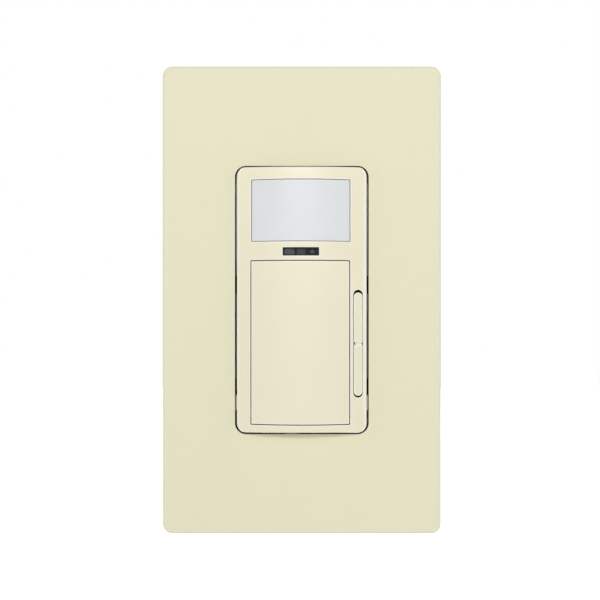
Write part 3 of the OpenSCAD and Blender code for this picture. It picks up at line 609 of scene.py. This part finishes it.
def storage_capacitors():
    """Two sleeved capacitors with a crimp groove, and their vented tops."""
    b = Build()
    base = low("storage_capacitors").y
    for x, z, r, top in ((-9, 21, 5.0, high("storage_capacitors").y), (1.5, 24, 3.15, 20.0)):
        b.turned([
            (r - 0.5, base), (r - 0.05, base + 0.2), (r, base + 0.6), (r, base + 1.3), (r - 0.35, base + 1.8),
            (r, base + 2.3), (r, top - 0.5), (r - 0.25, top - 0.1), (r - 0.8, top), (r - 1.0, top - 0.25),
            (0.01, top - 0.25),
        ], x, z)
    return b.piece("sleeved_capacitors", "root", "sleeve_blue", "storage_capacitors")


def squircle(x, z, half_w, half_h, count=48):
    """Points round a box shape whose sides bulge slightly and whose corners are round."""
    points = []
    for i in range(count):
        a = 2 * math.pi * (i + 0.5) / count
        across = math.copysign(abs(math.cos(a)) ** 0.5, math.cos(a))
        up = math.copysign(abs(math.sin(a)) ** 0.5, math.sin(a))
        points.append((x + half_w * across, z + half_h * up))
    return points


def switch_covers():
    """The pressed steel covers of the three push switches, with a collar round each plunger."""
    b = Build()
    # Half width, half height, the y of the cover's back, and the radius of its hole.
    big = (2.9 * 1.08, 2.9, -6.9, 1.9)
    small = (1.2 * 1.08, 1.2 * 1.42, -5.6, 0.82)
    count = 48
    for plunger, (half_w, half_h, y, r) in (
        ("paddle_plunger", big), ("raise_plunger", small), ("lower_plunger", small),
    ):
        x, z = middle(plunger).x, middle(plunger).z
        outline = squircle(x, z, half_w, half_h, count)
        angles = [2 * math.pi * (i + 0.5) / count for i in range(count)]
        hole = [(x + r * math.cos(a), z + r * math.sin(a)) for a in angles]
        outer = [b.ring(outline, y), b.ring(outline, y - 0.1)]
        inner = [b.ring(hole, y - 0.15), b.ring(hole, y)]
        b.stack([outer[0], outer[1], inner[0], inner[1], outer[0]])
    return b.piece("switch_plates", "root", "tin_plate", "switch_covers")


def control_chip():
    """A flat chip's body, with the dimple that marks its first leg."""
    b = Build()
    lo, hi = low("control_chip"), high("control_chip")
    b.block(lo.x + 0.6, hi.x - 0.6, lo.y, hi.y - 0.12, lo.z, hi.z, soft=0.12)
    b.turned([(0.35, lo.y - 0.01), (0.35, lo.y + 0.04)], hi.x - 1.4, hi.z - 1.0, 24)
    return b.piece("chip_body", "root", "chip", "control_chip")


def chip_legs():
    """The chip's bent legs, in a row on each side: each is a shoulder, a drop and a foot."""
    b = Build()
    lo, hi = low("control_chip"), high("control_chip")
    legs, end_gap, half = 8, 0.6, 0.15
    for i in range(legs):
        z = lo.z + end_gap + i * (hi.z - lo.z - 2 * end_gap) / (legs - 1)
        for side, x in ((-1, lo.x), (1, hi.x)):
            for inner, outer, y0, y1 in (
                (0.65, 0.2, lo.y + 0.45, lo.y + 0.6),
                (0.35, 0.2, lo.y + 0.45, hi.y - 0.02),
                (0.35, 0, hi.y - 0.14, hi.y - 0.01),
            ):
                x0, x1 = sorted((x - side * inner, x - side * outer))
                b.block(x0, x1, y0, y1, z - half, z + half, soft=0)
    return b.piece("chip_legs", "root", "tin_plate")


for build in (
    face_frame, sensor_lens, status_window, indicator_holder, status_leds, photocell, paddle, dimmer_bar,
    dimmer_bar_stem, device_screws, terminal_screws, ground_screw, storage_capacitors, switch_covers,
    control_chip, chip_legs,
):
    build()


# ---------------------------------------------------------------- softened edges on the CAD's own pieces

def soften(piece, width, segments=3, angle=30):
    """Rounds a CAD node's sharp edges without touching its own vertices."""
    for polygon in piece.data.polygons:
        polygon.use_smooth = True
    weld = piece.modifiers.new("weld", "WELD")
    weld.merge_threshold = 0.002 * MM
    dissolve = piece.modifiers.new("flat_faces", "DECIMATE")
    dissolve.decimate_type = "DISSOLVE"
    dissolve.angle_limit = math.radians(0.6)
    bevel = piece.modifiers.new("round_edges", "BEVEL")
    bevel.width = width
    bevel.segments = segments
    bevel.limit_method = "ANGLE"
    bevel.angle_limit = math.radians(angle)
    bevel.harden_normals = True
    bevel.miter_outer = "MITER_ARC"
    normals = piece.modifiers.new("normals", "WEIGHTED_NORMAL")
    normals.keep_sharp = True


EDGE_WIDTHS = {
    "plate_cover": 0.1, "plate_subframe": 0.12, "rear_housing": 0.16, "mounting_strap": 0.18,
    "choke_winding": 0, "choke_core": 0, "header_pins": 0.04, "sensor_pins": 0.04, "board_parts": 0.06,
    "film_capacitor": 0.35, "transistor_bodies": 0.2, "bar_pin": 0.08, "fuse_tube": 0.05, "varistor": 0.9,
    "control_board": 0.04, "power_board": 0.05, "sensor_board": 0.04, "transistor_pads": 0.03,
    "raise_plunger": 0.08, "lower_plunger": 0.08, "paddle_plunger": 0.12, "sensor_filter": 0.03,
    "motion_sensor": 0.15, "service_tab": 0.06,
}
for name, piece in NODES.items():
    if not piece.hide_render:
        width = EDGE_WIDTHS.get(name, 0.1)
        if width:
            soften(piece, width * MM)
        else:
            for polygon in piece.data.polygons:
                polygon.use_smooth = True


# ---------------------------------------------------------------- materials

class Shader:
    """A material under construction: a principled shader and short calls that add nodes to it."""

    def __init__(self, name):
        self.material = bpy.data.materials.new(name)
        self.material.use_nodes = True
        self.tree = self.material.node_tree
        self.tree.nodes.clear()
        out = self.node("OutputMaterial")
        self.bsdf = self.node("BsdfPrincipled")
        self.link(self.bsdf.outputs[0], out.inputs["Surface"])
        self.coords = self.node("TexCoord").outputs["Object"]

    def node(self, kind):
        return self.tree.nodes.new("ShaderNode" + kind)

    def link(self, a, b):
        self.tree.links.new(a, b)

    def set(self, **values):
        for key, value in values.items():
            self.bsdf.inputs[key.replace("_", " ")].default_value = value
        return self

    def placed(self, scale=(1, 1, 1), rotation=(0, 0, 0)):
        mapping = self.node("Mapping")
        mapping.inputs["Scale"].default_value = scale
        mapping.inputs["Rotation"].default_value = rotation
        self.link(self.coords, mapping.inputs["Vector"])
        return mapping.outputs["Vector"]

    def noise(self, lump, detail=3.0, coords=None, distortion=0.0):
        """Noise whose lumps are about lump metres across."""
        n = self.node("TexNoise")
        n.inputs["Scale"].default_value = 1 / lump
        n.inputs["Detail"].default_value = detail
        n.inputs["Distortion"].default_value = distortion
        self.link(coords or self.coords, n.inputs["Vector"])
        return n.outputs["Fac"]

    def cells(self, lump, coords=None):
        """Rounded cells about lump metres across: 0 in their middles."""
        n = self.node("TexVoronoi")
        n.inputs["Scale"].default_value = 1 / lump
        self.link(coords or self.coords, n.inputs["Vector"])
        return n.outputs["Distance"]

    def remap(self, value, low, high, to_low, to_high):
        n = self.node("MapRange")
        for key, number in zip(("From Min", "From Max", "To Min", "To Max"), (low, high, to_low, to_high)):
            n.inputs[key].default_value = number
        self.link(value, n.inputs["Value"])
        return n.outputs["Result"]

    def math(self, how, a, b):
        n = self.node("Math")
        n.operation = how
        for socket, value in zip(n.inputs, (a, b)):
            if isinstance(value, (int, float)):
                socket.default_value = value
            else:
                self.link(value, socket)
        return n.outputs[0]

    def mix(self, factor, colour_a, colour_b):
        n = self.node("Mix")
        n.data_type = "RGBA"
        self.link(factor, n.inputs["Factor"])
        for key, value in (("A", colour_a), ("B", colour_b)):
            socket = [s for s in n.inputs if s.name == key and s.type == "RGBA"][0]
            if isinstance(value, tuple):
                socket.default_value = (*value, 1)
            else:
                self.link(value, socket)
        return [s for s in n.outputs if s.type == "RGBA"][0]

    def edges(self, reach):
        """0 on flat stretches and 1 on convex edges, from the surface's own normals: the mask for edge wear
        and for painted edge highlights.
        """
        bevel = self.node("Bevel")
        bevel.samples = 6
        bevel.inputs["Radius"].default_value = reach
        plain = self.node("NewGeometry")
        dot = self.node("VectorMath")
        dot.operation = "DOT_PRODUCT"
        self.link(bevel.outputs["Normal"], dot.inputs[0])
        self.link(plain.outputs["Normal"], dot.inputs[1])
        return self.remap(dot.outputs["Value"], 0.9995, 0.965, 0.0, 1.0)

    def crevices(self, reach):
        """0 deep in narrow gaps and 1 in the open: the mask for painted shade in the gaps."""
        n = self.node("AmbientOcclusion")
        n.samples = 8
        n.inputs["Distance"].default_value = reach
        return self.remap(n.outputs["AO"], 0.34, 0.66, 0.0, 1.0)

    def rims(self, front):
        """The mask for a painted highlight: 1 on the rounded front edges of the face, and 0 on its bowed
        front.
        """
        axes = self.node("SeparateXYZ")
        self.link(self.node("NewGeometry").outputs["Normal"], axes.inputs[0])
        facing = self.math("ABSOLUTE", axes.outputs["Y"], 0)
        off_front = self.remap(facing, 0.86, 0.62, 0, 1)
        off_wall = self.remap(facing, 0.14, 0.3, 0, 1)
        turned = self.math("MULTIPLY", off_front, off_wall)
        place = self.node("SeparateXYZ")
        self.link(self.coords, place.inputs[0])
        ahead = self.remap(place.outputs["Y"], front, front - 0.3 * MM, 0.0, 1.0)
        return self.math("MULTIPLY", turned, ahead)

    def height(self, low, high):
        """0 below low and 1 above high, along the object's upward axis."""
        axes = self.node("SeparateXYZ")
        self.link(self.coords, axes.inputs[0])
        return self.remap(axes.outputs["Z"], low, high, 0.0, 1.0)

    def bump(self, height, distance, strength=1.0):
        n = self.node("Bump")
        n.inputs["Strength"].default_value = strength
        n.inputs["Distance"].default_value = distance
        self.link(height, n.inputs["Height"])
        previous = self.bsdf.inputs["Normal"].links
        if previous:
            self.link(previous[0].from_socket, n.inputs["Normal"])
        self.link(n.outputs["Normal"], self.bsdf.inputs["Normal"])
        return self

    def colour(self, socket):
        self.link(socket, self.bsdf.inputs["Base Color"])
        return self

    def roughness(self, socket):
        self.link(socket, self.bsdf.inputs["Roughness"])
        return self


def tint(colour, by):
    """The colour made lighter or darker."""
    return tuple(max(0.0, min(1.0, c * by)) for c in colour)


def moulded(name, colour, rough=0.38, grain=0.12 * MM, depth=0.002 * MM, spread=0.012, wear_and_highlight=None,
            gap_shade=None, top_light_tint=None, rim_highlight=None):
    """Injection-moulded plastic: even colour, a fine mould grain, flow marks in the gloss and tinted convex
    edges: edge wear on the spark-eroded black plastic and the painted screw, a painted highlight on the rest.

    The gap colour is painted shade laid deep in narrow gaps. The top tint is painted light, the tint the
    colour reaches towards the top of the face. The rim colour is a painted highlight on the face's rounded
    front edges.
    """
    s = Shader(name)
    broad = s.noise(9 * MM, 2.0)
    body = s.mix(broad, tint(colour, 1 - spread), tint(colour, 1 + spread))
    # Painted light: the colour turns lighter towards the top of the face, where the light falls stronger.
    if top_light_tint:
        body = s.mix(s.math("POWER", s.height(-30 * MM, 33 * MM), 2.5), body, tint(colour, top_light_tint))
    # Convex edges take the edge tint: edge wear on the spark-eroded black plastic and the painted screw, a
    # painted highlight everywhere else.
    skin = s.mix(s.edges(0.36 * MM), body, wear_and_highlight or tint(colour, 1.06))
    # Painted highlight: the face's rounded front rims are lightened to near white.
    if rim_highlight:
        skin = s.mix(s.rims(-6.9 * MM), skin, rim_highlight)
    # Painted shade: narrow gaps darken towards the gap colour.
    if gap_shade:
        skin = s.mix(s.crevices(1.2 * MM), gap_shade, skin)
    s.colour(skin)
    fine = s.noise(grain, 2.0)
    flow = s.remap(broad, 0.3, 0.7, rough - 0.03, rough + 0.03)
    s.roughness(s.math("ADD", flow, s.remap(fine, 0.3, 0.7, -0.03, 0.03)))
    return s.bump(fine, depth, 0.6)


def textured_black(name, colour=(0.028, 0.028, 0.031)):
    """Black plastic with a spark-eroded grain, greyer where it is worn."""
    s = moulded(name, colour, rough=0.52, spread=0.1, wear_and_highlight=(0.09, 0.09, 0.095))
    grain = s.cells(0.22 * MM)
    lumps = s.noise(0.16 * MM, 4.0)
    return s.bump(s.math("ADD", grain, lumps), 0.02 * MM, 0.7)


def metal(name, colour, rough, streak=(1, 1, 1), dull=None, anisotropy=0.0):
    """Metal with fine streaks along the rolling direction, cloudy tarnish and brighter worn edges."""
    s = Shader(name).set(Metallic=1.0, Anisotropic=anisotropy)
    cloud = s.noise(5 * MM, 4.0, distortion=0.6)
    lines = s.noise(0.12 * MM, 3.0, s.placed(streak))
    body = s.mix(s.remap(cloud, 0.35, 0.65, 0, 1), tint(colour, 0.95), dull or tint(colour, 1.05))
    lined = s.mix(s.remap(lines, 0.35, 0.65, 0, 0.5), body, tint(colour, 0.8))
    s.colour(s.mix(s.edges(0.2 * MM), lined, tint(colour, 1.2)))
    s.roughness(s.math("ADD", s.remap(lines, 0.3, 0.7, rough - 0.06, rough + 0.06),
                       s.remap(cloud, 0.3, 0.7, -0.04, 0.05)))
    return s.bump(lines, 0.004 * MM, 0.5)


def circuit_board(name):
    """Green solder mask over raised copper tracks, with a weave of glass cloth showing through."""
    s = Shader(name).set(Coat_Weight=0.4, Coat_Roughness=0.12)
    turned = (math.radians(90), 0, 0)
    brick = s.node("TexBrick")
    brick.offset = 0.37
    brick.squash = 1.6
    for key, value in (("Scale", 260), ("Mortar Size", 0.045), ("Mortar Smooth", 0.1), ("Brick Width", 0.9),
                       ("Row Height", 0.31)):
        brick.inputs[key].default_value = value
    s.link(s.placed((1, 1, 1), turned), brick.inputs["Vector"])
    track = brick.outputs["Fac"]
    weave = s.cells(0.5 * MM, s.placed((1, 1, 1), turned))
    ground = s.mix(weave, (0.012, 0.115, 0.045), (0.02, 0.15, 0.06))
    s.colour(s.mix(track, ground, (0.04, 0.27, 0.10)))
    s.roughness(s.remap(s.noise(0.6 * MM), 0.3, 0.7, 0.28, 0.4))
    return s.bump(track, 0.03 * MM, 0.8)


def lens_sheet(name):
    """Milky polyethylene: light goes into it, with a faint flow pattern."""
    # The lens's lighter edge tint is a painted highlight.
    s = moulded(name, (0.735, 0.755, 0.775), rough=0.42, depth=0.0015 * MM, wear_and_highlight=(0.86, 0.88, 0.93))
    s.set(Subsurface_Weight=0.35, Subsurface_Scale=1.5 * MM)
    s.bsdf.inputs["Subsurface Radius"].default_value = (1.0, 1.0, 1.0)
    return s


def smoked_pane(name):
    """Dark clear plastic that shows the cells behind it."""
    s = Shader(name).set(Alpha=0.3, IOR=1.49)
    s.colour(s.mix(s.noise(0.4 * MM), (0.012, 0.011, 0.01), (0.022, 0.019, 0.017)))
    s.roughness(s.remap(s.noise(0.25 * MM), 0.3, 0.7, 0.12, 0.22))
    return s


def light_guide(name):
    """Frosted light guide, brown-grey and speckled."""
    s = Shader(name).set(Subsurface_Weight=0.2, Subsurface_Scale=0.3 * MM)
    speck = s.noise(0.22 * MM, 4.0)
    s.colour(s.mix(s.remap(speck, 0.4, 0.62, 0, 1), (0.27, 0.27, 0.265), (0.54, 0.54, 0.53)))
    s.roughness(s.remap(speck, 0.3, 0.7, 0.25, 0.5))
    return s.bump(speck, 0.02 * MM, 0.5)


def coated(name, colour, rough=0.2, lump=0.5 * MM, depth=0.01 * MM, spread=0.06):
    """Dipped or shrunk-on skin: glossy and slightly uneven."""
    s = moulded(name, colour, rough=rough, grain=lump, depth=depth, spread=spread)
    return s.set(Coat_Weight=0.3, Coat_Roughness=0.1)


def painted_screw(name, colour):
    """Paint over a screw: faint orange peel, and metal-grey where the driver has scuffed it."""
    s = moulded(name, colour, rough=0.3, grain=0.35 * MM, depth=0.006 * MM, wear_and_highlight=tint(colour, 0.86))
    return s.set(Coat_Weight=0.2, Coat_Roughness=0.15)


def fired_parts(name):
    """Tiny parts: fired ceramic in the middle with tinned ends, in a speckled sandy colour."""
    s = Shader(name)
    speck = s.noise(0.3 * MM, 3.0)
    s.colour(s.mix(s.remap(speck, 0.4, 0.6, 0, 1), (0.34, 0.27, 0.19), (0.5, 0.42, 0.31)))
    s.roughness(s.remap(speck, 0.3, 0.7, 0.3, 0.5))
    return s.bump(speck, 0.008 * MM, 0.5)


IVORY_PLATE = (0.765, 0.735, 0.535)
IVORY_FACE = (0.81, 0.765, 0.578)
# Near-white painted highlight for the face's edges and rims.
FACE_HIGHLIGHT = (1.0, 1.0, 0.96)
# Colours of the painted shade in narrow gaps: on the plate, and on the face and its parts.
PLATE_GAP_SHADE = (0.008, 0.009, 0.012)
FACE_GAP_SHADE = (0.20, 0.10, 0.04)
ALONG_Z = (1, 1, 0.03)
ALONG_X = (0.03, 1, 1)

MATERIALS = {
    # The plate's edge tint, a little lighter than its body, is a painted highlight.
    "plate_ivory": moulded("plate_ivory", IVORY_PLATE, rough=0.58, wear_and_highlight=tint(IVORY_PLATE, 1.05),
                           gap_shade=PLATE_GAP_SHADE),
    # The face turns lighter towards its top as painted light.
    "face_ivory": moulded("face_ivory", IVORY_FACE, wear_and_highlight=FACE_HIGHLIGHT, gap_shade=FACE_GAP_SHADE, top_light_tint=1.05,
                          rim_highlight=FACE_HIGHLIGHT),
    "lens_white": lens_sheet("lens_white"),
    "smoke": smoked_pane("smoke"),
    "black_plastic": textured_black("black_plastic"),
    "housing_plastic": textured_black("housing_plastic", (0.034, 0.034, 0.037)),
    "tray_plastic": moulded("tray_plastic", (0.68, 0.66, 0.6), rough=0.45),
    "circuit_board": circuit_board("circuit_board"),
    "chip": moulded("chip", (0.022, 0.022, 0.024), rough=0.48, grain=0.08 * MM, depth=0.006 * MM,
                    spread=0.08),
    "chip_parts": fired_parts("chip_parts"),
    "led": light_guide("led"),
    "photocell": coated("photocell", (0.24, 0.225, 0.2), rough=0.3),
    "zinc_steel": metal("zinc_steel", (0.60, 0.61, 0.62), 0.3, dull=(0.62, 0.60, 0.52)),
    "tin_plate": metal("tin_plate", (0.70, 0.70, 0.68), 0.24),
    "aluminium": metal("aluminium", (0.72, 0.73, 0.74), 0.33, streak=ALONG_Z, anisotropy=0.5),
    "painted_screw": painted_screw("painted_screw", IVORY_PLATE),
    "ground_green": metal("ground_green", (0.05, 0.33, 0.12), 0.3),
    "brass": metal("brass", (0.74, 0.53, 0.22), 0.28, streak=ALONG_X, dull=(0.56, 0.37, 0.15)),
    "ceramic_core": moulded("ceramic_core", (0.62, 0.50, 0.07), rough=0.4, spread=0.05),
    "copper_wire": metal("copper_wire", (0.70, 0.27, 0.10), 0.2).set(Coat_Weight=0.8, Coat_Roughness=0.08),
    "film_box": coated("film_box", (0.50, 0.34, 0.05), rough=0.3),
    "sleeve_blue": coated("sleeve_blue", (0.015, 0.03, 0.10), rough=0.22),
    "varistor_blue": coated("varistor_blue", (0.03, 0.10, 0.32), rough=0.25, lump=1.2 * MM, depth=0.03 * MM),
    "white_ceramic": coated("white_ceramic", (0.76, 0.75, 0.70), rough=0.18),
    "pad_grey": moulded("pad_grey", (0.22, 0.25, 0.24), rough=0.7, grain=0.2 * MM, depth=0.01 * MM),
}
slots = {row["node"]: row["material_slot"] for row in frame["record"]["subparts"]}

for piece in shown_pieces():
    slot = piece.get("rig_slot") or slots[piece.name]
    piece.data.materials.clear()
    piece.data.materials.append(MATERIALS[slot].material)


# ---------------------------------------------------------------- stage

FLOOR_DROP = 0.03
SENSOR = 36
FIELD_WIDTH = 0.1506
CAMERA_DISTANCE = 0.24
CAMERA_DROP = 0.0045
CAMERA_SIDE = -0.00045
SKY_LIGHT = 0.4
SKY_SEEN = 1.0
FLOOR_GLOW = 0.66

plate_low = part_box("plate_cover")[0]

camera_data = bpy.data.cameras.new("camera")
camera_data.lens = SENSOR * CAMERA_DISTANCE / FIELD_WIDTH
camera_data.sensor_width = SENSOR
camera_data.clip_start = 0.01
camera_data.shift_y = CAMERA_DROP / FIELD_WIDTH
camera = bpy.data.objects.new("camera", camera_data)
camera.location = (CAMERA_SIDE, plate_low.y - CAMERA_DISTANCE, -CAMERA_DROP)
camera.rotation_euler = (math.radians(90), 0, 0)
bpy.context.scene.collection.objects.link(camera)
bpy.context.scene.camera = camera


def softbox(name, place, width, height, power):
    """A rectangular area light that faces the object."""
    data = bpy.data.lights.new(name, "AREA")
    data.shape = "RECTANGLE"
    data.size, data.size_y = width, height
    data.energy = power
    light = bpy.data.objects.new(name, data)
    light.location = place
    light.rotation_euler = (-Vector(place)).to_track_quat("-Z", "Y").to_euler()
    bpy.context.scene.collection.objects.link(light)


softbox("key_softbox", (0, -1.2, 0.44), 0.4, 0.26, 6.75)
softbox("left_softbox", (-0.75, -0.25, 0.1), 0.3, 0.5, 0.86)
softbox("right_softbox", (0.75, -0.25, 0.1), 0.3, 0.5, 0.86)
softbox("back_softbox", (0.3, 0.7, 0.5), 0.5, 0.4, 3.0)


def pale_floor():
    """A plain pale floor under the object, with a paper-like grain."""
    b = Build()
    reach = 900
    b.fill(b.ring(rounded_rect(2 * reach, 2 * reach, reach * 0.6), 0))
    floor = bpy.data.objects.new("floor", b.mesh("floor"))
    floor.rotation_euler = (math.radians(90), 0, 0)
    floor.location = (0, 0, plate_low.z - FLOOR_DROP)
    bpy.context.scene.collection.objects.link(floor)
    s = Shader("floor_paper").set(Roughness=0.9, Emission_Color=(1, 1, 1, 1))
    s.colour(s.mix(s.noise(30 * MM), (0.90, 0.90, 0.90), (0.93, 0.93, 0.93)))
    seen = s.node("LightPath").outputs["Is Camera Ray"]
    s.link(s.remap(seen, 0, 1, 0, FLOOR_GLOW), s.bsdf.inputs["Emission Strength"])
    s.bump(s.noise(0.8 * MM), 0.05 * MM, 0.3)
    floor.data.materials.append(s.material)


pale_floor()

world = bpy.data.worlds.new("world")
bpy.context.scene.world = world
world.use_nodes = True
tree = world.node_tree
sky = tree.nodes["Background"]
sky.inputs["Color"].default_value = (1, 1, 1, 1)
path = tree.nodes.new("ShaderNodeLightPath")
strength = tree.nodes.new("ShaderNodeMapRange")
strength.inputs["To Min"].default_value = SKY_LIGHT
strength.inputs["To Max"].default_value = SKY_SEEN
tree.links.new(path.outputs["Is Camera Ray"], strength.inputs["Value"])
tree.links.new(strength.outputs["Result"], sky.inputs["Strength"])

bpy.context.scene.view_settings.view_transform = "Standard"
